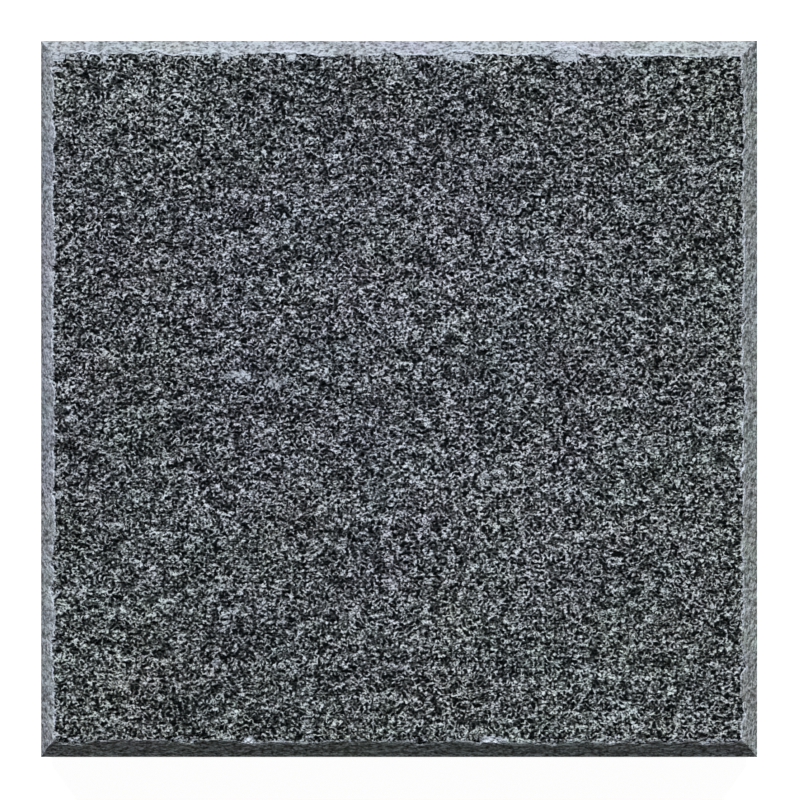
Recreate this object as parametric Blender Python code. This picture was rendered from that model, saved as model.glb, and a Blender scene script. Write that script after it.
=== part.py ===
"""A square granite work slab for leathercraft, standing on four stuck-on rubber feet.

Metres, +Z up. The origin is under the middle of the slab, on the plane that the feet stand on.
"""

import math

import bmesh
import bpy

# The stone: a sawn square block with a wide chamfer round its working face.
SLAB_LENGTH = 0.305  # along X, a twelve inch slab
SLAB_DEPTH = 0.305  # along Y
SLAB_THICKNESS = 0.032  # an inch and a quarter
WORK_CHAMFER = 0.0062  # each leg of the 45 degree chamfer round the working face
UNDER_CHAMFER = 0.001  # each leg of the eased edge round the underside

# The feet: moulded rubber discs, one near each corner.
FOOT_RADIUS = 0.0125
FOOT_TAPER = 0.0005  # how much smaller the radius is where the foot stands
FOOT_THICKNESS = 0.0025
FOOT_EDGE_ROUND = 0.0006
FOOT_INSET = 0.035  # from the sides of the slab to the middle of a foot

# The double-sided foam disc that holds each foot.
ADHESIVE_MARGIN = 0.0006  # how far the rim of the foot stands past the foam
ADHESIVE_THICKNESS = 0.0008

CONTACT_GAP = 0.0003  # between pieces that touch
ROUND_SIDES = 48
EDGE_ROUND_STEPS = 3
SMOOTH_BELOW = math.radians(30)
SAME_HEIGHT = 1e-6

ADHESIVE_RADIUS = FOOT_RADIUS - ADHESIVE_MARGIN
ADHESIVE_TOP = -CONTACT_GAP
FOOT_TOP = ADHESIVE_TOP - ADHESIVE_THICKNESS - CONTACT_GAP
UNDERSIDE_HEIGHT = FOOT_THICKNESS - FOOT_TOP

# Each corner's name, and which side of the middle it is on along X and Y.
CORNERS = {
    "front_left": (-1, -1),
    "front_right": (1, -1),
    "rear_left": (-1, 1),
    "rear_right": (1, 1),
}


def clear_scene():
    """Remove every object that the file starts with."""
    for ob in list(bpy.data.objects):
        bpy.data.objects.remove(ob, do_unlink=True)


def make_material(name, colour, roughness, metallic=0.0):
    """A plain Principled material."""
    material = bpy.data.materials.new(name)
    material.use_nodes = True
    shader = material.node_tree.nodes["Principled BSDF"]
    shader.inputs["Base Color"].default_value = (*colour, 1.0)
    shader.inputs["Roughness"].default_value = roughness
    shader.inputs["Metallic"].default_value = metallic
    material.diffuse_color = (*colour, 1.0)
    return material


def add_object(name, data, parent, location):
    """Link an object to the scene at a place in its parent's space."""
    ob = bpy.data.objects.new(name, data)
    bpy.context.scene.collection.objects.link(ob)
    ob.parent = parent
    ob.location = location
    return ob


def finish_mesh(bm, name, material):
    """Turn a bmesh into a mesh with its material, and free the bmesh."""
    mesh = bpy.data.meshes.new(name)
    bm.to_mesh(mesh)
    bm.free()
    mesh.materials.append(material)
    return mesh


def shade_round(mesh):
    """Shade a turned piece smooth, with its rims left sharp."""
    mesh.shade_smooth()
    mesh.set_sharp_from_angle(angle=SMOOTH_BELOW)
    return mesh


def edges_at(bm, height):
    """The edges that lie level at one height."""
    return [e for e in bm.edges if all(abs(v.co.z - height) < SAME_HEIGHT for v in e.verts)]


def slab_mesh(material):
    """The stone, standing on its own origin: a block chamfered round its top and its bottom."""
    bm = bmesh.new()
    bmesh.ops.create_cube(bm, size=1.0)
    bmesh.ops.translate(bm, verts=bm.verts, vec=(0.0, 0.0, 0.5))
    bmesh.ops.scale(bm, verts=bm.verts, vec=(SLAB_LENGTH, SLAB_DEPTH, SLAB_THICKNESS))
    for height, chamfer in ((SLAB_THICKNESS, WORK_CHAMFER), (0.0, UNDER_CHAMFER)):
        bmesh.ops.bevel(
            bm,
            geom=edges_at(bm, height),
            offset=chamfer,
            offset_type="OFFSET",
            affect="EDGES",
            segments=1,
        )
    return finish_mesh(bm, "granite_slab", material)


def foot_mesh(material):
    """A rubber disc hanging from its own origin, tapered, with its lower rim rounded."""
    bm = bmesh.new()
    bmesh.ops.create_cone(
        bm,
        cap_ends=True,
        segments=ROUND_SIDES,
        radius1=FOOT_RADIUS - FOOT_TAPER,
        radius2=FOOT_RADIUS,
        depth=FOOT_THICKNESS,
    )
    bmesh.ops.translate(bm, verts=bm.verts, vec=(0.0, 0.0, -FOOT_THICKNESS / 2))
    bmesh.ops.bevel(
        bm,
        geom=edges_at(bm, -FOOT_THICKNESS),
        offset=FOOT_EDGE_ROUND,
        offset_type="OFFSET",
        affect="EDGES",
        segments=EDGE_ROUND_STEPS,
        profile=0.5,
    )
    return shade_round(finish_mesh(bm, "rubber_foot", material))


def adhesive_mesh(material):
    """A foam disc hanging from its own origin."""
    bm = bmesh.new()
    bmesh.ops.create_cone(
        bm,
        cap_ends=True,
        segments=ROUND_SIDES,
        radius1=ADHESIVE_RADIUS,
        radius2=ADHESIVE_RADIUS,
        depth=ADHESIVE_THICKNESS,
    )
    bmesh.ops.translate(bm, verts=bm.verts, vec=(0.0, 0.0, -ADHESIVE_THICKNESS / 2))
    return shade_round(finish_mesh(bm, "adhesive_disc", material))


def add_slab(stone):
    """The slab, held up by the height of a foot and its foam."""
    return add_object("granite_slab", slab_mesh(stone), None, (0.0, 0.0, UNDERSIDE_HEIGHT))


def add_feet(slab, rubber, foam):
    """A foam disc and a foot under each corner, hung from a point on the slab's underside."""
    foot = foot_mesh(rubber)
    adhesive = adhesive_mesh(foam)
    for corner, (side_x, side_y) in CORNERS.items():
        seat = add_object(
            f"foot_seat_{corner}",
            None,
            slab,
            (side_x * (SLAB_LENGTH / 2 - FOOT_INSET), side_y * (SLAB_DEPTH / 2 - FOOT_INSET), 0.0),
        )
        add_object(f"adhesive_disc_{corner}", adhesive, seat, (0.0, 0.0, ADHESIVE_TOP))
        add_object(f"rubber_foot_{corner}", foot, seat, (0.0, 0.0, FOOT_TOP))


def main():
    clear_scene()
    stone = make_material("dark_granite", (0.122, 0.132, 0.138), 0.72)
    rubber = make_material("black_rubber", (0.018, 0.018, 0.02), 0.78)
    foam = make_material("acrylic_foam", (0.32, 0.32, 0.31), 0.6)
    slab = add_slab(stone)
    add_feet(slab, rubber, foam)


main()
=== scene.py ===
"""A square granite slab for leatherwork, standing on four stuck-on rubber feet.

Metres, +Z up, +Y towards the rear edge of the slab. The stone comes first, then the foam discs
and rubber feet under it, then the table, the lamps and the camera.
"""

import math

import bmesh
import bpy
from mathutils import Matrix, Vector


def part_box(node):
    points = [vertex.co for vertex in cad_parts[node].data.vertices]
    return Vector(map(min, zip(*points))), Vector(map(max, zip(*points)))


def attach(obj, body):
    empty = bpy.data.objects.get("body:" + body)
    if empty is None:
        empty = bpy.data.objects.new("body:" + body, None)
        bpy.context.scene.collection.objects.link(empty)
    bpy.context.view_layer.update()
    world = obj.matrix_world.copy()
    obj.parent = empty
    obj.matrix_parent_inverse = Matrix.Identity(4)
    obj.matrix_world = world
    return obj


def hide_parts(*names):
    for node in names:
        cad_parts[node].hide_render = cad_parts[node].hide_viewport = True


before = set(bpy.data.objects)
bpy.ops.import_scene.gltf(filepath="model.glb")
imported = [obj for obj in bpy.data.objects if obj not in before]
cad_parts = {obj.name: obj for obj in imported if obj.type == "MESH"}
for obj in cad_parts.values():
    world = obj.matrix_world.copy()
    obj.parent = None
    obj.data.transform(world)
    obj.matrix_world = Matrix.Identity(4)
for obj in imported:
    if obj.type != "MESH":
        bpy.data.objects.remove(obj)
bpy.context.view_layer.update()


# ---------------------------------------------------------------- the granite slab
# One block of granite, sawn square. Its working face was flamed or split, which leaves a shallow
# relief, and a 45 degree chamfer was ground round that afterwards: so the arris wanders in and
# out with the height of the face, and small flakes have come off along it.

# The stone is fine-grained and dark: black mica and hornblende, grey quartz and pale feldspar.
# Every face of it cuts through the same grains, so both of its finishes use one node group.
GRAIN = 0.001  # the usual size of a crystal


def add(tree, kind, inputs=None, **settings):
    """Add a node with its settings, and give each named or numbered input a link or a value."""
    node = tree.nodes.new(kind)
    for key, value in settings.items():
        setattr(node, key, value)
    for key, value in (inputs or {}).items():
        if isinstance(value, bpy.types.NodeSocket):
            tree.links.new(value, node.inputs[key])
        else:
            node.inputs[key].default_value = value
    return node


def sum_of(tree, operation, a, b=0.0, c=0.0):
    """One step of arithmetic on numbers or sockets."""
    return add(tree, "ShaderNodeMath", {0: a, 1: b, 2: c}, operation=operation).outputs[0]


def shift(tree, vector, offset):
    return add(tree, "ShaderNodeVectorMath", {0: vector, 1: offset}, operation="ADD").outputs[0]


def scaled(tree, vector, factor):
    node = add(tree, "ShaderNodeVectorMath", {0: vector, "Scale": factor}, operation="SCALE")
    return node.outputs[0]


def remap(tree, value, low, high, to_low=0.0, to_high=1.0, curve="LINEAR"):
    """Take one range to another, held at both ends."""
    node = add(
        tree,
        "ShaderNodeMapRange",
        {"Value": value, "From Min": low, "From Max": high, "To Min": to_low, "To Max": to_high},
        interpolation_type=curve,
    )
    return node.outputs["Result"]


def noise(tree, vector, scale, detail=1.0, roughness=0.6):
    """A cloud of values round a half, with features of one over the scale."""
    return add(
        tree,
        "ShaderNodeTexNoise",
        {"Vector": vector, "Scale": scale, "Detail": detail, "Roughness": roughness},
    )


def blend(tree, factor, a, b, data_type="FLOAT", blend_type="MIX"):
    """Mix two numbers or two colours."""
    node = add(tree, "ShaderNodeMix", data_type=data_type, blend_type=blend_type)
    first = {"FLOAT": 2, "RGBA": 6}[data_type]
    for key, value in ((0, factor), (first, a), (first + 1, b)):
        if isinstance(value, bpy.types.NodeSocket):
            tree.links.new(value, node.inputs[key])
        else:
            node.inputs[key].default_value = value
    return node.outputs[{"FLOAT": 0, "RGBA": 2}[data_type]]


def new_group(name, kind, inputs, outputs):
    """An empty node group with named sockets; returns it with its input and output nodes."""
    group = bpy.data.node_groups.new(name, kind)
    for in_out, sockets in (("INPUT", inputs), ("OUTPUT", outputs)):
        for label, (socket_type, default) in sockets.items():
            socket = group.interface.new_socket(label, in_out=in_out, socket_type=socket_type)
            if default is not None:
                socket.default_value = default
    return group, group.nodes.new("NodeGroupInput"), group.nodes.new("NodeGroupOutput")


def granite_grains():
    """The node group: how pale the stone is at a point, how its hue drifts, how proud it stands."""
    tree, given, result = new_group(
        "granite grains",
        "ShaderNodeTree",
        {
            "Position": ("NodeSocketVector", None),
            "Grain Size": ("NodeSocketFloat", GRAIN),
            "Lath Width": ("NodeSocketFloat", 0.19),
            "Clumping": ("NodeSocketFloat", 1.0),
        },
        {
            "Pale": ("NodeSocketFloat", None),
            "Hue": ("NodeSocketColor", None),
            "Height": ("NodeSocketFloat", None),
        },
    )
    per_grain = sum_of(tree, "DIVIDE", 1.0, given.outputs["Grain Size"])
    place = scaled(tree, given.outputs["Position"], per_grain)

    # Feldspar laths: thin curved strokes, where a cloud of values crosses its own middle.
    cloud = noise(tree, shift(tree, place, (31.0, 7.0, 3.0)), 0.50, 1.0, 0.5).outputs[0]
    off_middle = sum_of(tree, "ABSOLUTE", sum_of(tree, "SUBTRACT", cloud, 0.5))
    laths = remap(tree, off_middle, given.outputs["Lath Width"], 0.0)

    # Clumps: crystals of four sizes together, which brighten or smother the laths.
    clumps = 0.0
    for size, share in ((1.0, 0.35), (1.6, 0.35), (2.6, 0.25), (5.0, 0.2)):
        spot = shift(tree, place, (37.3 * size, 11.9 * size, 5.1 * size))
        crystals = noise(tree, spot, 1.0 / size, 0.0).outputs[0]
        crystals = sum_of(tree, "SUBTRACT", crystals, 0.5)
        clumps = sum_of(tree, "MULTIPLY_ADD", crystals, share, clumps)
    clumps = sum_of(tree, "MULTIPLY", clumps, given.outputs["Clumping"])
    clumps = remap(tree, clumps, -0.22, 0.22)

    lit = sum_of(tree, "MULTIPLY", laths, remap(tree, clumps, 0.2, 0.8, 0.42, 1.13))
    pale = sum_of(tree, "MULTIPLY_ADD", clumps, 0.15, lit)
    pale = sum_of(tree, "MINIMUM", pale, 1.0)

    # The stone's hue drifts from violet to green, and it is bluest in one broad patch.
    drift = noise(tree, place, 0.03, 3.0, 0.75).outputs["Color"]
    drift = blend(tree, 0.87, drift, (0.5, 0.5, 0.5, 1.0), "RGBA")
    blue_patch = add(tree, "ShaderNodeVectorMath", operation="DISTANCE")
    tree.links.new(given.outputs["Position"], blue_patch.inputs[0])
    blue_patch.inputs[1].default_value = (-0.02, 0.04, 0.03)
    blueness = remap(tree, blue_patch.outputs["Value"], 0.05, 0.19, 1.0, 0.0)
    patch = blend(tree, blueness, (0.96, 1.0, 0.94, 1.0), (0.98, 0.98, 1.06, 1.0), "RGBA")
    hue = blend(tree, 1.0, drift, (2.0, 2.0, 2.0, 1.0), "RGBA", "MULTIPLY")
    hue = blend(tree, 1.0, hue, patch, "RGBA", "MULTIPLY")
    height = noise(tree, shift(tree, place, (5.0, 53.0, 11.0)), 0.62, 1.0, 0.5).outputs[0]
    for label, socket in (("Pale", pale), ("Hue", hue), ("Height", height)):
        tree.links.new(socket, result.inputs[label])
    return tree


GRAINS = granite_grains()


def stone_shader(name):
    """A material with a Principled shader, its object position and the granite's grains."""
    material = bpy.data.materials.new(name)
    material.use_nodes = True
    tree = material.node_tree
    shader = tree.nodes["Principled BSDF"]
    position = add(tree, "ShaderNodeTexCoord").outputs["Object"]
    grains = add(tree, "ShaderNodeGroup", {"Position": position}, node_tree=GRAINS)
    return material, tree, shader, position, grains


def bump(tree, shader, height, depth):
    node = add(tree, "ShaderNodeBump", {"Height": height, "Distance": depth, "Strength": 1.0})
    tree.links.new(node.outputs[0], shader.inputs["Normal"])


def flamed_granite():
    """The rough face: every crystal broken; the dark crystals are near black, partly their own colour
    and partly painted shade of the pits among the broken crystals.
    """
    material, tree, shader, position, grains = stone_shader("flamed granite")
    broad = add(
        tree, "ShaderNodeVectorMath", {0: position, 1: (9.0, 19.0, 9.0)}, operation="MULTIPLY"
    )
    cloudy = noise(tree, broad.outputs[0], 1.0, 3.0, 0.6).outputs[0]
    cloudy = remap(tree, cloudy, 0.3, 0.7, 0.935, 1.065)
    pale = sum_of(tree, "MULTIPLY", grains.outputs["Pale"], cloudy)
    pale = sum_of(tree, "POWER", pale, 3.3)
    # Painted shade: the near-black end of this colour is darker than the dark minerals themselves, and
    # stands in for the shade in the pits of the rough face.
    colour = blend(tree, pale, (0.0022, 0.0034, 0.0040, 1.0), (0.60, 0.62, 0.63, 1.0), "RGBA")
    colour = blend(tree, 1.0, colour, grains.outputs["Hue"], "RGBA", "MULTIPLY")

    # Where a flake came away the stone is bruised: chalky grey, and white at the worst of it. The same
    # mask also paints the pale arris line, which is partly a painted highlight. The darkest grains
    # take the chalk last.
    bruise_and_highlight = add(tree, "ShaderNodeAttribute", attribute_name="bruise_and_highlight").outputs["Fac"]
    powder = noise(tree, position, 700.0, 2.0).outputs[0]
    wear_and_highlight = sum_of(tree, "MULTIPLY_ADD", powder, 0.9, bruise_and_highlight)
    wear_and_highlight = sum_of(tree, "MULTIPLY_ADD", grains.outputs["Pale"], 0.55, wear_and_highlight)
    chalk_and_highlight = blend(
        tree,
        remap(tree, bruise_and_highlight, 0.75, 1.0),
        (0.42, 0.45, 0.50, 1.0),
        (0.74, 0.78, 0.84, 1.0),
        "RGBA",
    )
    colour = blend(tree, remap(tree, wear_and_highlight, 0.85, 1.3, 0.0, 0.95), colour, chalk_and_highlight, "RGBA")
    tree.links.new(colour, shader.inputs["Base Color"])

    roughness = remap(tree, grains.outputs["Pale"], 0.0, 1.0, 0.95, 0.75)
    tree.links.new(roughness, shader.inputs["Roughness"])
    shader.inputs["Specular IOR Level"].default_value = 0.05
    bump(tree, shader, grains.outputs["Height"], 0.0024)
    return material


def sawn_granite():
    """The ground and sawn faces: the same grains, flat and dim under a bloom of stone dust."""
    material, tree, shader, position, grains = stone_shader("sawn granite")
    grains.inputs["Lath Width"].default_value = 0.25
    scratches = []
    for stretch in ((300.0, 500.0, 500.0), (500.0, 300.0, 500.0)):
        along = add(tree, "ShaderNodeVectorMath", {0: position, 1: stretch}, operation="MULTIPLY")
        scratches.append(noise(tree, along.outputs[0], 1.0, 2.0).outputs[0])
    facing = add(tree, "ShaderNodeNewGeometry").outputs["True Normal"]
    facing = add(tree, "ShaderNodeSeparateXYZ", {0: facing}).outputs
    faces_x = sum_of(
        tree,
        "GREATER_THAN",
        sum_of(tree, "ABSOLUTE", facing[0]),
        sum_of(tree, "ABSOLUTE", facing[1]),
    )
    scratch = blend(tree, faces_x, *scratches)

    level = sum_of(tree, "MULTIPLY_ADD", grains.outputs["Pale"], 1.3, -0.50)
    level = sum_of(tree, "MULTIPLY_ADD", scratch, 0.8, level)
    colour = blend(tree, level, (0.086, 0.088, 0.094, 1.0), (0.455, 0.468, 0.515, 1.0), "RGBA")
    colour = blend(tree, 1.0, colour, grains.outputs["Hue"], "RGBA", "MULTIPLY")

    # The bruise mask paints chips and the arris pale on the chamfers too; along the arris this is
    # partly a painted highlight.
    bruise_and_highlight = add(tree, "ShaderNodeAttribute", attribute_name="bruise_and_highlight").outputs["Fac"]
    powder = noise(tree, position, 500.0, 2.0).outputs[0]
    wear_and_highlight = sum_of(tree, "MULTIPLY_ADD", powder, 0.9, bruise_and_highlight)
    wear_and_highlight = remap(tree, wear_and_highlight, 0.95, 1.25, 0.0, 0.8)
    colour = blend(tree, wear_and_highlight, colour, (0.60, 0.64, 0.72, 1.0), "RGBA")
    tree.links.new(colour, shader.inputs["Base Color"])

    roughness = remap(tree, scratch, 0.3, 0.7, 0.62, 0.8)
    tree.links.new(roughness, shader.inputs["Roughness"])
    shader.inputs["Specular IOR Level"].default_value = 0.2
    # The chamfers were ground by hand, so they are rougher than the sawn faces.
    ground = sum_of(tree, "MULTIPLY", scratch, remap(tree, facing[2], 0.0, 0.5, 0.35, 1.0))
    bump(tree, shader, ground, 0.0022)
    return material


slab_low, slab_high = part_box("granite_slab")
LENGTH = slab_high.x - slab_low.x
DEPTH = slab_high.y - slab_low.y
SHOULDER = 0.0070  # how far below the highest point the chamfers end
UNDER_CHAMFER = 0.001
CELLS = 288  # along each side of the working face
SAW_ROWS = 5
SHARP_OVER = math.radians(40)  # a fold steeper than this stays crisp

# How wide each hand-ground chamfer is where the face is highest.
CHAMFERS = {
    "Left Chamfer": 0.0065,
    "Right Chamfer": 0.0075,
    "Rear Chamfer": 0.0071,
    "Front Chamfer": 0.0081,
}

# Flakes off the arris and scars on the face, each with its middle, its half length along X, its
# half width along Y, how deep it goes and how bruised it is. One below nought stands proud.
SCARS = (
    (0.0252, 0.1462, 0.0100, 0.0030, 0.0014, 0.78),
    (0.0712, 0.1464, 0.0080, 0.0036, 0.0018, 0.78),
    (0.0262, 0.1449, 0.0060, 0.0012, 0.0007, 0.00),
    (0.0680, 0.1452, 0.0050, 0.0012, 0.0007, 0.00),
    (-0.1255, 0.1462, 0.0022, 0.0036, 0.0014, 0.80),
    (-0.0738, 0.1462, 0.0022, 0.0030, 0.0012, 0.78),
    (-0.0460, 0.1462, 0.0034, 0.0032, 0.0012, 0.80),
    (-0.1445, 0.1460, 0.0036, 0.0034, 0.0010, 0.60),
    (-0.1450, 0.1405, 0.0042, 0.0012, 0.0004, 0.42),
    (-0.0640, -0.1452, 0.0036, 0.0020, 0.0003, 1.25),
    (-0.0510, -0.1446, 0.0085, 0.0007, -0.0002, 1.00),
    (0.0399, -0.1452, 0.0090, 0.0021, 0.0002, 1.10),
    (0.1305, -0.1455, 0.0028, 0.0028, 0.0010, 0.60),
    (0.1430, -0.1452, 0.0040, 0.0016, 0.0007, 0.55),
    (-0.0690, 0.0098, 0.0080, 0.0032, 0.0004, 0.45),
    (-0.0530, 0.0072, 0.0060, 0.0026, 0.0003, 0.45),
    (-0.0784, -0.1120, 0.0018, 0.0014, 0.0003, 0.70),
)


def scar_group():
    """One shallow oval dent: how far the face drops there, and how bruised it is."""
    tree, given, result = new_group(
        "scar",
        "GeometryNodeTree",
        {
            "X": ("NodeSocketFloat", None),
            "Y": ("NodeSocketFloat", None),
            "Middle X": ("NodeSocketFloat", 0.0),
            "Middle Y": ("NodeSocketFloat", 0.0),
            "Half Length": ("NodeSocketFloat", 0.005),
            "Half Width": ("NodeSocketFloat", 0.002),
            "Drop": ("NodeSocketFloat", 0.001),
            "White": ("NodeSocketFloat", 1.0),
        },
        {"Drop": ("NodeSocketFloat", None), "Bruise": ("NodeSocketFloat", None)},
    )
    squares = []
    for along, middle, half in (("X", "Middle X", "Half Length"), ("Y", "Middle Y", "Half Width")):
        away = sum_of(tree, "SUBTRACT", given.outputs[along], given.outputs[middle])
        away = sum_of(tree, "DIVIDE", away, given.outputs[half])
        squares.append(sum_of(tree, "MULTIPLY", away, away))
    inside = remap(tree, sum_of(tree, "ADD", *squares), 1.0, 0.2, curve="SMOOTHSTEP")
    outline = sum_of(tree, "MULTIPLY", inside, sum_of(tree, "SUBTRACT", 4.0, inside))
    shown = sum_of(tree, "MAXIMUM", sum_of(tree, "DIVIDE", outline, 3.0), inside)
    for label, size, value in (("Drop", "Drop", inside), ("Bruise", "White", shown)):
        scale = sum_of(tree, "MULTIPLY", value, given.outputs[size])
        tree.links.new(scale, result.inputs[label])
    return tree


def slab_tree():
    """The whole stone: the rough face, its arris, the chamfers, the sawn sides and the underside."""
    tree, given, result = new_group(
        "granite slab",
        "GeometryNodeTree",
        {
            "Geometry": ("NodeSocketGeometry", None),
            "Length": ("NodeSocketFloat", 0.3),
            "Depth": ("NodeSocketFloat", 0.3),
            "Top": ("NodeSocketFloat", 0.03),
            "Shoulder": ("NodeSocketFloat", 0.024),
            "Underside": ("NodeSocketFloat", 0.0),
            "Left Chamfer": ("NodeSocketFloat", 0.006),
            "Right Chamfer": ("NodeSocketFloat", 0.006),
            "Rear Chamfer": ("NodeSocketFloat", 0.006),
            "Front Chamfer": ("NodeSocketFloat", 0.006),
            "Under Chamfer": ("NodeSocketFloat", 0.001),
            "Cells": ("NodeSocketInt", 200),
            "Relief": ("NodeSocketFloat", 0.001),
            "Swell Size": ("NodeSocketFloat", 0.03),
            "Flake Size": ("NodeSocketFloat", 0.01),
            "Spall Size": ("NodeSocketFloat", 0.003),
            "Seed": ("NodeSocketFloat", 0.0),
            "Rough Stone": ("NodeSocketMaterial", None),
            "Sawn Stone": ("NodeSocketMaterial", None),
        },
        {"Geometry": ("NodeSocketGeometry", None)},
    )
    size = given.outputs
    points = add(tree, "FunctionNodeFloatToInt", {0: sum_of(tree, "ADD", size["Cells"], 1.0)})
    grid = add(
        tree,
        "GeometryNodeMeshGrid",
        {
            "Size X": 2.0,
            "Size Y": 2.0,
            "Vertices X": points.outputs[0],
            "Vertices Y": points.outputs[0],
        },
    )
    place = add(tree, "GeometryNodeInputPosition").outputs[0]
    own_x, own_y, _ = add(tree, "ShaderNodeSeparateXYZ", {0: place}).outputs
    two_rows = sum_of(tree, "SUBTRACT", 1.0, sum_of(tree, "DIVIDE", 3.0, size["Cells"]))

    def across(value, whole, low_chamfer, high_chamfer):
        """Along one axis: the place on the face, its side if it is on the rim, its side if it is
        on the rim or in the row next to that, and its distance from the rims."""
        closer = sum_of(tree, "MULTIPLY", sum_of(tree, "POWER", value, 9.0), -0.08)
        spread = sum_of(tree, "MULTIPLY_ADD", value, 1.08, closer)
        half = sum_of(tree, "DIVIDE", whole, 2.0)
        low = sum_of(tree, "SUBTRACT", low_chamfer, half)
        high = sum_of(tree, "SUBTRACT", half, high_chamfer)
        there = remap(tree, spread, -1.0, 1.0, low, high)
        sides = []
        for limit in (0.99999, two_rows):
            outside = sum_of(tree, "GREATER_THAN", sum_of(tree, "ABSOLUTE", value), limit)
            sides.append(sum_of(tree, "MULTIPLY", sum_of(tree, "SIGN", value), outside))
        inward = sum_of(
            tree,
            "MINIMUM",
            sum_of(tree, "SUBTRACT", there, low),
            sum_of(tree, "SUBTRACT", high, there),
        )
        return there, *sides, inward

    x, side_x, near_x, inward_x = across(
        own_x, size["Length"], size["Left Chamfer"], size["Right Chamfer"]
    )
    y, side_y, near_y, inward_y = across(
        own_y, size["Depth"], size["Front Chamfer"], size["Rear Chamfer"]
    )

    # Relief: long swells and broken flakes, a little longer along X, all below the top.
    spot = add(
        tree,
        "ShaderNodeCombineXYZ",
        {0: sum_of(tree, "MULTIPLY", x, 0.5), 1: y, 2: size["Seed"]},
    ).outputs[0]
    swell = noise(tree, spot, sum_of(tree, "DIVIDE", 1.0, size["Swell Size"]), 1.0).outputs[0]
    flake = noise(tree, spot, sum_of(tree, "DIVIDE", 1.0, size["Flake Size"]), 4.0, 0.62)
    level = remap(tree, blend(tree, 0.65, swell, flake.outputs[0]), 0.65, 0.31, curve="SMOOTHSTEP")
    drop = sum_of(tree, "MULTIPLY", level, size["Relief"])

    # Spalls: where flakes have come away from the arris, the face slopes down to it.
    inward = sum_of(tree, "MINIMUM", inward_x, inward_y)
    reach = noise(tree, shift(tree, spot, (0.7, 0.3, 0.0)), 190.0, 1.0).outputs[0]
    reach = sum_of(tree, "MULTIPLY", remap(tree, reach, 0.48, 0.76), size["Spall Size"])
    spall = sum_of(tree, "MAXIMUM", sum_of(tree, "SUBTRACT", reach, inward), 0.0)
    drop = sum_of(tree, "MULTIPLY_ADD", spall, 0.5, drop)
    bruise_and_highlight = remap(tree, spall, 0.0, 0.0006, 0.0, 0.22)

    dent = scar_group()
    for scar in SCARS:
        node = add(
            tree,
            "GeometryNodeGroup",
            dict(enumerate((x, y, *scar))),
            node_tree=dent,
        )
        drop = sum_of(tree, "ADD", drop, node.outputs["Drop"])
        bruise_and_highlight = sum_of(tree, "MAXIMUM", bruise_and_highlight, node.outputs["Bruise"])

    # The arris is painted pale in patches: partly stone rubbed pale, partly a painted highlight of the
    # lit edge, so it is only half as strong along the front, which is in shade.
    rubbed_and_highlit = sum_of(tree, "MAXIMUM", sum_of(tree, "MULTIPLY", side_y, -0.5), side_y)
    rubbed_and_highlit = sum_of(tree, "MAXIMUM", sum_of(tree, "ABSOLUTE", side_x), rubbed_and_highlit)
    patches = noise(tree, shift(tree, spot, (0.0, 0.9, 0.0)), 170.0, 1.0).outputs[0]
    rubbed_and_highlit = sum_of(tree, "MULTIPLY", rubbed_and_highlit, remap(tree, patches, 0.35, 0.55, 0.35, 1.0))
    bruise_and_highlight = sum_of(tree, "MAXIMUM", bruise_and_highlight, rubbed_and_highlit)
    marked = add(
        tree,
        "GeometryNodeStoreNamedAttribute",
        {"Geometry": grid.outputs["Mesh"], "Name": "bruise_and_highlight", "Value": bruise_and_highlight},
        data_type="FLOAT",
        domain="POINT",
    )

    # Every point keeps which rims it is on, for the rings that are drawn out of it below.
    sides = add(tree, "ShaderNodeCombineXYZ", {0: side_x, 1: side_y}).outputs[0]
    kept = add(
        tree,
        "GeometryNodeStoreNamedAttribute",
        {"Geometry": marked.outputs[0], "Name": "side", "Value": sides},
        data_type="FLOAT_VECTOR",
        domain="POINT",
    )
    sides = add(tree, "GeometryNodeInputNamedAttribute", {0: "side"}, data_type="FLOAT_VECTOR")
    side_x, side_y, _ = add(tree, "ShaderNodeSeparateXYZ", {0: sides.outputs[0]}).outputs

    # The chamfer planes rise from the shoulder, so a low stretch of face meets them further out.
    rise = sum_of(tree, "SUBTRACT", size["Top"], size["Shoulder"])
    below = remap(tree, sum_of(tree, "DIVIDE", drop, rise), 0.0, 0.6, 0.0, 0.6)

    # The row next to the rim goes with it, so that the faces between them don't fold over.
    chamfer_x = remap(tree, near_x, -1.0, 1.0, size["Left Chamfer"], size["Right Chamfer"])
    chamfer_y = remap(tree, near_y, -1.0, 1.0, size["Front Chamfer"], size["Rear Chamfer"])

    def out_by(value, side, chamfer, share):
        """Move the rim outwards by a share of its chamfer."""
        step = sum_of(tree, "MULTIPLY", sum_of(tree, "MULTIPLY", side, chamfer), share)
        return sum_of(tree, "ADD", value, step)

    lowered = add(
        tree,
        "ShaderNodeCombineXYZ",
        {
            0: out_by(x, near_x, chamfer_x, below),
            1: out_by(y, near_y, chamfer_y, below),
            2: sum_of(tree, "SUBTRACT", size["Top"], drop),
        },
    )
    face = add(
        tree,
        "GeometryNodeSetPosition",
        {"Geometry": kept.outputs[0], "Position": lowered.outputs[0]},
    )

    # The rest is drawn out of the rim, one ring of faces after another.
    here = add(tree, "GeometryNodeInputPosition").outputs[0]
    here_x, here_y, here_z = add(tree, "ShaderNodeSeparateXYZ", {0: here}).outputs
    neighbours = add(tree, "GeometryNodeInputMeshEdgeNeighbors").outputs[0]
    rim = sum_of(tree, "LESS_THAN", neighbours, 1.5)

    bruised_and_highlit = add(tree, "GeometryNodeInputNamedAttribute", {0: "bruise_and_highlight"}, data_type="FLOAT")
    stone = face.outputs[0]

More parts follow.
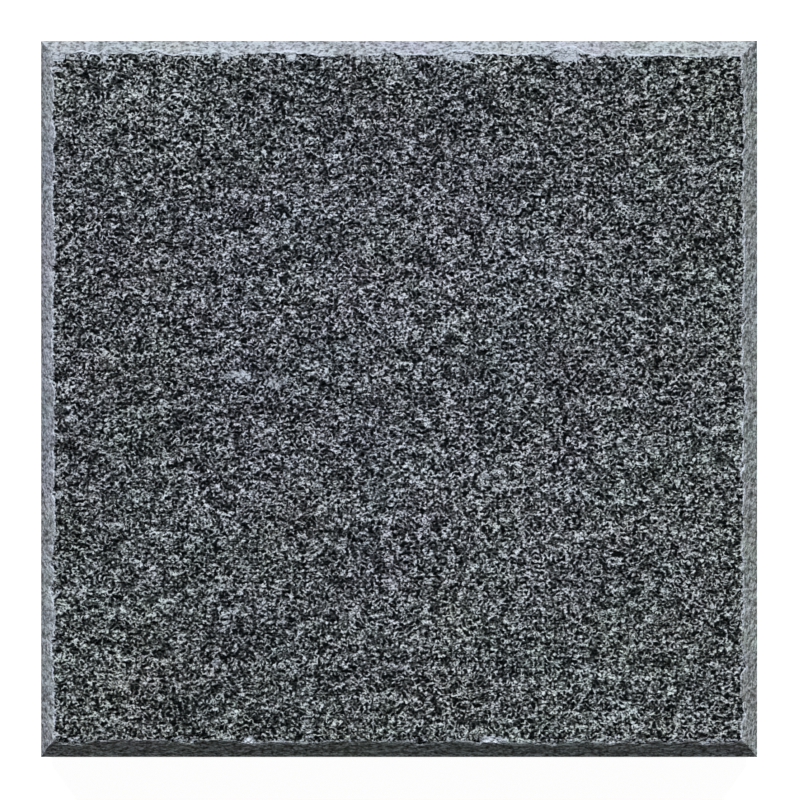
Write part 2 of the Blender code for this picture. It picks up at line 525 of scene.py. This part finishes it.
    def ring(stone, rim, x, y, z, bruise_and_highlight=0.0):
        """Draw the rim out to a new place; returns the stone and its new rim."""
        drawn = add(
            tree,
            "GeometryNodeExtrudeMesh",
            {"Mesh": stone, "Selection": rim, "Offset Scale": 0.0},
            mode="EDGES",
        )
        placed = add(
            tree,
            "GeometryNodeSetPosition",
            {
                "Geometry": drawn.outputs["Mesh"],
                "Selection": drawn.outputs["Top"],
                "Position": add(tree, "ShaderNodeCombineXYZ", {0: x, 1: y, 2: z}).outputs[0],
            },
        )
        marked = add(
            tree,
            "GeometryNodeStoreNamedAttribute",
            {
                "Geometry": placed.outputs[0],
                "Selection": drawn.outputs["Top"],
                "Name": "bruise_and_highlight",
                "Value": bruise_and_highlight,
            },
            data_type="FLOAT",
            domain="POINT",
        )
        return marked.outputs[0], drawn.outputs["Top"]

    def on_rim(value, side, target):
        """The target on this axis's rims, and the point's own place anywhere else."""
        elsewhere = sum_of(tree, "SUBTRACT", 1.0, sum_of(tree, "ABSOLUTE", side))
        own = sum_of(tree, "MULTIPLY", value, elsewhere)
        return sum_of(tree, "MULTIPLY_ADD", side, target, own)

    # The arris is worn round: its first rings fall away less steeply than the chamfer, and the first
    # of them still carries the pale arris mark, partly bruise and partly painted highlight.
    for out, down, bruise_and_highlight in (
        (0.0004, 0.0002, bruised_and_highlit.outputs[0]),
        (0.0002, 0.00015, 0.0),
        (0.0007, 0.0006, 0.0),
        (0.0012, 0.0011, 0.0),
    ):
        stone, rim = ring(
            stone,
            rim,
            sum_of(tree, "MULTIPLY_ADD", side_x, out, here_x),
            sum_of(tree, "MULTIPLY_ADD", side_y, out, here_y),
            sum_of(tree, "SUBTRACT", here_z, down),
            bruise_and_highlight,
        )
    half_length = sum_of(tree, "DIVIDE", size["Length"], 2.0)
    half_depth = sum_of(tree, "DIVIDE", size["Depth"], 2.0)
    outer_x, outer_y = on_rim(here_x, side_x, half_length), on_rim(here_y, side_y, half_depth)
    skirt = sum_of(tree, "ADD", size["Underside"], size["Under Chamfer"])
    for row in range(SAW_ROWS + 1):
        height = blend(tree, row / SAW_ROWS, size["Shoulder"], skirt)
        stone, rim = ring(stone, rim, outer_x, outer_y, height)
    under_x = sum_of(tree, "SUBTRACT", half_length, size["Under Chamfer"])
    under_y = sum_of(tree, "SUBTRACT", half_depth, size["Under Chamfer"])
    stone, rim = ring(
        stone,
        rim,
        on_rim(here_x, side_x, under_x),
        on_rim(here_y, side_y, under_y),
        size["Underside"],
    )
    stone, rim = ring(stone, rim, 0.0, 0.0, size["Underside"])
    closed = add(
        tree,
        "GeometryNodeMergeByDistance",
        {"Geometry": stone, "Selection": rim, "Distance": 1e-5},
    )
    real = add(tree, "GeometryNodeRealizeInstances", {0: closed.outputs[0]})

    # The grid's own faces come first and are rough; every face that was drawn out is sawn.
    rough = add(
        tree,
        "GeometryNodeSetMaterial",
        {"Geometry": real.outputs[0], "Material": size["Rough Stone"]},
    )
    own_faces = sum_of(tree, "MULTIPLY", size["Cells"], size["Cells"])
    face_number = add(tree, "GeometryNodeInputIndex").outputs[0]
    sawn = add(
        tree,
        "GeometryNodeSetMaterial",
        {
            "Geometry": rough.outputs[0],
            "Selection": sum_of(
                tree, "GREATER_THAN", face_number, sum_of(tree, "SUBTRACT", own_faces, 0.5)
            ),
            "Material": size["Sawn Stone"],
        },
    )
    tree.links.new(sawn.outputs[0], result.inputs[0])
    return tree


def from_nodes(name, tree, values):
    """Run a node tree with these inputs, and keep what it makes as a plain mesh object."""
    seed = bpy.data.objects.new(name + "_start", bpy.data.meshes.new(name + "_start"))
    bpy.context.scene.collection.objects.link(seed)
    modifier = seed.modifiers.new(name, "NODES")
    modifier.node_group = tree
    for item in tree.interface.items_tree:
        if item.in_out == "INPUT" and item.name in values:
            modifier[item.identifier] = values[item.name]
    evaluated = seed.evaluated_get(bpy.context.evaluated_depsgraph_get())
    mesh = bpy.data.meshes.new_from_object(evaluated)
    mesh.name = name
    mesh.materials.pop(index=0)  # the grid starts with an empty slot
    bpy.data.objects.remove(seed, do_unlink=True)
    piece = bpy.data.objects.new(name, mesh)
    bpy.context.scene.collection.objects.link(piece)
    return piece


slab = from_nodes(
    "granite_stone",
    slab_tree(),
    {
        "Length": LENGTH,
        "Depth": DEPTH,
        "Top": slab_high.z,
        "Shoulder": slab_high.z - SHOULDER,
        "Underside": slab_low.z,
        **CHAMFERS,
        "Under Chamfer": UNDER_CHAMFER,
        "Cells": CELLS,
        "Relief": 0.0020,
        "Swell Size": 0.034,
        "Flake Size": 0.010,
        "Spall Size": 0.0034,
        "Seed": 4.2,
        "Rough Stone": flamed_granite(),
        "Sawn Stone": sawn_granite(),
    },
)
slab.data.shade_smooth()
slab.data.set_sharp_from_angle(angle=SHARP_OVER)

# Most of the slab's own texture map goes to its working face. Each chamfer lies with its side in a
# narrow strip, two beyond the face and two above it, and the underside has the corner.
FACE_ROOM = 0.82
STRIP_ROOM = 0.082
STRIP_APART = 0.005
CHAMFER_ROOM = 0.042  # of a strip's width
ARRIS_INSET = 0.0085  # no arris is further in than this
INSET_SHARE = 0.6  # how much a step outwards counts along a strip, next to a step down

bake_map = slab.data.uv_layers.new(name="OFBake").uv
rims = slab.data.attributes["side"].data
rough = slab.data.materials.find("flamed granite")
chamfer_fall = INSET_SHARE * ARRIS_INSET + SHOULDER
side_fall = slab_high.z - SHOULDER - slab_low.z
for face in slab.data.polygons:
    toward = sum((rims[v].vector for v in face.vertices), Vector())
    along_y = abs(toward.x) > abs(toward.y)
    strip = int(toward.x > 0 if along_y else toward.y > 0)
    start = FACE_ROOM + STRIP_APART + strip * (STRIP_ROOM + STRIP_APART)
    for loop, vertex in zip(face.loop_indices, face.vertices):
        point = slab.data.vertices[vertex].co
        u, v = point.x / LENGTH + 0.5, point.y / DEPTH + 0.5
        if face.material_index == rough:
            bake_map[loop].vector = (u * FACE_ROOM, v * FACE_ROOM)
        elif face.normal.z < -0.9:
            corner = FACE_ROOM + 2 * STRIP_APART
            room = 1.0 - STRIP_APART - corner
            bake_map[loop].vector = (corner + u * room, corner + v * room)
        else:
            inset = LENGTH / 2 - abs(point.x) if along_y else DEPTH / 2 - abs(point.y)
            fall = INSET_SHARE * (ARRIS_INSET - inset) + slab_high.z - point.z
            across = CHAMFER_ROOM * min(fall / chamfer_fall, 1.0)
            across += (STRIP_ROOM - CHAMFER_ROOM) * max(fall - chamfer_fall, 0.0) / side_fall
            if along_y:
                bake_map[loop].vector = (start + across, v * FACE_ROOM)
            else:
                bake_map[loop].vector = (u * FACE_ROOM, start + across)
slab.data.attributes.remove(slab.data.attributes["side"])
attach(slab, "root")
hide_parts("granite_slab")


# ---------------------------------------------------------------- the foam discs
# A thin disc of closed-cell foam, gummed on both sides, holds each foot to the stone. It is pressed
# in flush with both, so its edge bulges a little.

CORNERS = ("front_left", "front_right", "rear_left", "rear_right")
TURNED_SIDES = 72
FOAM_CLEARANCE = 0.00001  # the foam fills all but this of the gap on each side


def turned(name, middle, profile, material):
    """A closed turned piece: the profile's (radius, height) points, from the axis to the axis."""
    bm = bmesh.new()
    rings = []
    for radius, height in profile:
        if radius == 0.0:
            rings.append([bm.verts.new((middle.x, middle.y, height))])
            continue
        turns = [2.0 * math.pi * k / TURNED_SIDES for k in range(TURNED_SIDES)]
        rings.append(
            [
                bm.verts.new(
                    (middle.x + radius * math.cos(a), middle.y + radius * math.sin(a), height)
                )
                for a in turns
            ]
        )
    for upper, lower in zip(rings, rings[1:]):
        for k in range(TURNED_SIDES):
            corners = [upper[k % len(upper)], lower[k % len(lower)]]
            if len(lower) > 1:
                corners.append(lower[(k + 1) % TURNED_SIDES])
            if len(upper) > 1:
                corners.append(upper[(k + 1) % TURNED_SIDES])
            bm.faces.new(corners)
    bmesh.ops.recalc_face_normals(bm, faces=bm.faces)
    mesh = bpy.data.meshes.new(name)
    bm.to_mesh(mesh)
    bm.free()
    mesh.materials.append(material)
    mesh.shade_smooth()
    mesh.set_sharp_from_angle(angle=SHARP_OVER)
    piece = bpy.data.objects.new(name, mesh)
    bpy.context.scene.collection.objects.link(piece)
    return piece


def arc(centre_radius, centre_height, radius, start, end, steps):
    """Points of a quarter round or a bead, from one angle to another in degrees."""
    for k in range(steps + 1):
        angle = math.radians(start + (end - start) * k / steps)
        yield centre_radius + radius * math.cos(angle), centre_height + radius * math.sin(angle)


def foam():
    """Grey closed-cell foam: a dull face full of tiny open bubbles."""
    material = bpy.data.materials.new("acrylic foam")
    material.use_nodes = True
    tree = material.node_tree
    shader = tree.nodes["Principled BSDF"]
    position = add(tree, "ShaderNodeTexCoord").outputs["Object"]
    bubbles = add(tree, "ShaderNodeTexVoronoi", {"Vector": position, "Scale": 5200.0})
    shade = noise(tree, position, 700.0, 2.0).outputs[0]
    colour = blend(tree, shade, (0.24, 0.24, 0.235, 1.0), (0.38, 0.38, 0.37, 1.0), "RGBA")
    tree.links.new(colour, shader.inputs["Base Color"])
    tree.links.new(remap(tree, shade, 0.3, 0.7, 0.6, 0.75), shader.inputs["Roughness"])
    bump(tree, shader, bubbles.outputs["Distance"], 0.00005)
    return material


foam_material = foam()
for corner in CORNERS:
    foam_low, foam_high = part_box(f"adhesive_disc_{corner}")
    middle = (foam_low + foam_high) / 2
    radius = (foam_high.x - foam_low.x) / 2
    top = slab_low.z - FOAM_CLEARANCE
    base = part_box(f"rubber_foot_{corner}")[1].z + FOAM_CLEARANCE
    bulge = (top - base) / 2
    disc = turned(
        f"foam_disc_{corner}",
        middle,
        [
            (0.0, top),
            *arc(radius - bulge * 0.5, middle.z, bulge, 90.0, -90.0, 8),
            (0.0, base),
        ],
        foam_material,
    )
    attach(disc, "root")
    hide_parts(f"adhesive_disc_{corner}")


# ---------------------------------------------------------------- the rubber feet
# Four moulded rubber discs, one near each corner, that keep the slab from sliding and from marking
# the bench. Each has a rounded rim and three shallow rings in its sole.

FOOT_LIP = 0.00025  # the round of the upper rim
FOOT_TAPER = 0.0005
FOOT_EDGE = 0.0006  # the round of the lower rim
GROOVES = (0.0096, 0.0070, 0.0044)  # the radius of each ring
GROOVE_DEPTH = 0.0004
GROOVE_MOUTH = 0.0005  # half the ring's width at the sole
GROOVE_FLOOR = 0.0003  # and at its bottom


def foot_rubber():
    """Black moulded rubber, with a bloom of dust and the fine matt skin that the mould leaves."""
    material = bpy.data.materials.new("foot rubber")
    material.use_nodes = True
    tree = material.node_tree
    shader = tree.nodes["Principled BSDF"]
    position = add(tree, "ShaderNodeTexCoord").outputs["Object"]
    skin = noise(tree, position, 4200.0, 2.0).outputs[0]
    dust = noise(tree, position, 320.0, 4.0, 0.7).outputs[0]
    dust = remap(tree, dust, 0.45, 0.75, 0.0, 0.5)
    colour = blend(tree, dust, (0.013, 0.013, 0.014, 1.0), (0.055, 0.054, 0.052, 1.0), "RGBA")
    tree.links.new(colour, shader.inputs["Base Color"])
    tree.links.new(remap(tree, dust, 0.0, 0.5, 0.58, 0.85), shader.inputs["Roughness"])
    shader.inputs["Specular IOR Level"].default_value = 0.4
    bump(tree, shader, skin, 0.00006)
    return material


rubber_material = foot_rubber()
for corner in CORNERS:
    foot_low, foot_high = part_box(f"rubber_foot_{corner}")
    foot_radius = (foot_high.x - foot_low.x) / 2
    sole = foot_radius - FOOT_TAPER - FOOT_EDGE
    sole_rings = []
    for groove in GROOVES:
        sole_rings += [
            (groove + GROOVE_MOUTH, foot_low.z),
            (groove + GROOVE_FLOOR, foot_low.z + GROOVE_DEPTH),
            (groove - GROOVE_FLOOR, foot_low.z + GROOVE_DEPTH),
            (groove - GROOVE_MOUTH, foot_low.z),
        ]
    foot = turned(
        f"foot_{corner}",
        (foot_low + foot_high) / 2,
        [
            (0.0, foot_high.z),
            *arc(foot_radius - FOOT_LIP, foot_high.z - FOOT_LIP, FOOT_LIP, 90.0, 0.0, 3),
            *arc(sole, foot_low.z + FOOT_EDGE, FOOT_EDGE, 0.0, -90.0, 6),
            *sole_rings,
            (0.0, foot_low.z),
        ],
        rubber_material,
    )
    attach(foot, "root")
    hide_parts(f"rubber_foot_{corner}")


# ---------------------------------------------------------------- the table and the light
# The slab lies on a plain white table. Two soft lamps stand behind its rear edge, the left one
# cool and the right one neutral, so the rear chamfer is bright and the front one is in shade.

TABLE_HALF = 4.0
ROOM_LIGHT = 0.030
LAMP_ASIDE, LAMP_BEHIND, LAMP_ABOVE = 0.5, 0.866, 0.84  # where each lamp stands, as a direction
LAMP_SPREAD = math.radians(10)
# Each lamp's name, which side it stands on, its strength and its colour.
LAMPS = (
    ("left lamp", -1, 2.93, (0.95, 0.99, 1.08)),
    ("right lamp", 1, 2.06, (0.97, 1.01, 0.97)),
)

table_mesh = bpy.data.meshes.new("table")
table_mesh.from_pydata(
    [(-TABLE_HALF, -TABLE_HALF, 0), (TABLE_HALF, -TABLE_HALF, 0),
     (TABLE_HALF, TABLE_HALF, 0), (-TABLE_HALF, TABLE_HALF, 0)],
    [],
    [(0, 1, 2, 3)],
)
table = bpy.data.objects.new("table", table_mesh)
bpy.context.scene.collection.objects.link(table)
table_paint = bpy.data.materials.new("white table")
table_paint.use_nodes = True
paint_tree = table_paint.node_tree
paint = paint_tree.nodes["Principled BSDF"]
paint.inputs["Base Color"].default_value = (0.5, 0.5, 0.5, 1.0)
paint.inputs["Roughness"].default_value = 0.9
paint.inputs["Emission Color"].default_value = (1.0, 1.0, 1.0, 1.0)
paint.inputs["Emission Strength"].default_value = 0.965
quiet = add(paint_tree, "ShaderNodeBsdfDiffuse", {"Color": (0.17, 0.17, 0.15, 1.0)})
seen = add(paint_tree, "ShaderNodeLightPath").outputs["Is Camera Ray"]
shown = add(paint_tree, "ShaderNodeMixShader", {0: seen, 1: quiet.outputs[0], 2: paint.outputs[0]})
paint_tree.links.new(shown.outputs[0], paint_tree.nodes["Material Output"].inputs["Surface"])
table_mesh.materials.append(table_paint)

for name, side, strength, colour in LAMPS:
    light = bpy.data.lights.new(name, "SUN")
    light.energy = strength
    light.angle = LAMP_SPREAD
    light.color = colour
    lamp = bpy.data.objects.new(name, light)
    toward = Vector((side * LAMP_ASIDE, LAMP_BEHIND, LAMP_ABOVE))
    lamp.rotation_euler = toward.to_track_quat("Z", "Y").to_euler()
    bpy.context.scene.collection.objects.link(lamp)

room = bpy.data.worlds.new("room")
room.use_nodes = True
room_tree = room.node_tree
room_tree.nodes.clear()
backdrop = add(room_tree, "ShaderNodeBackground", {"Color": (1.0, 1.0, 1.0, 1.0), "Strength": 1.1})
glow = add(room_tree, "ShaderNodeBackground", {"Color": (1.0, 1.0, 0.87, 1.0), "Strength": ROOM_LIGHT})
seen = add(room_tree, "ShaderNodeLightPath").outputs["Is Camera Ray"]
both = add(room_tree, "ShaderNodeMixShader", {0: seen, 1: glow.outputs[0], 2: backdrop.outputs[0]})
add(room_tree, "ShaderNodeOutputWorld", {"Surface": both.outputs[0]})
bpy.context.scene.world = room

# The camera looks straight down, with the rear edge at the top and a little table all round.
SLAB_SHARE = 0.8953  # of the view's width
FRAME_WIDTH = LENGTH / SLAB_SHARE
camera_data = bpy.data.cameras.new("camera")
camera_data.lens = 400.0
camera_data.sensor_width = 36.0
camera_data.shift_x = 0.00106
camera_data.shift_y = -0.0014
camera = bpy.data.objects.new("camera", camera_data)
above = FRAME_WIDTH * camera_data.lens / camera_data.sensor_width
camera.location = (0.0, 0.0, slab_high.z - SHOULDER + above)
bpy.context.scene.collection.objects.link(camera)
bpy.context.scene.camera = camera
bpy.context.scene.view_settings.view_transform = "Standard"
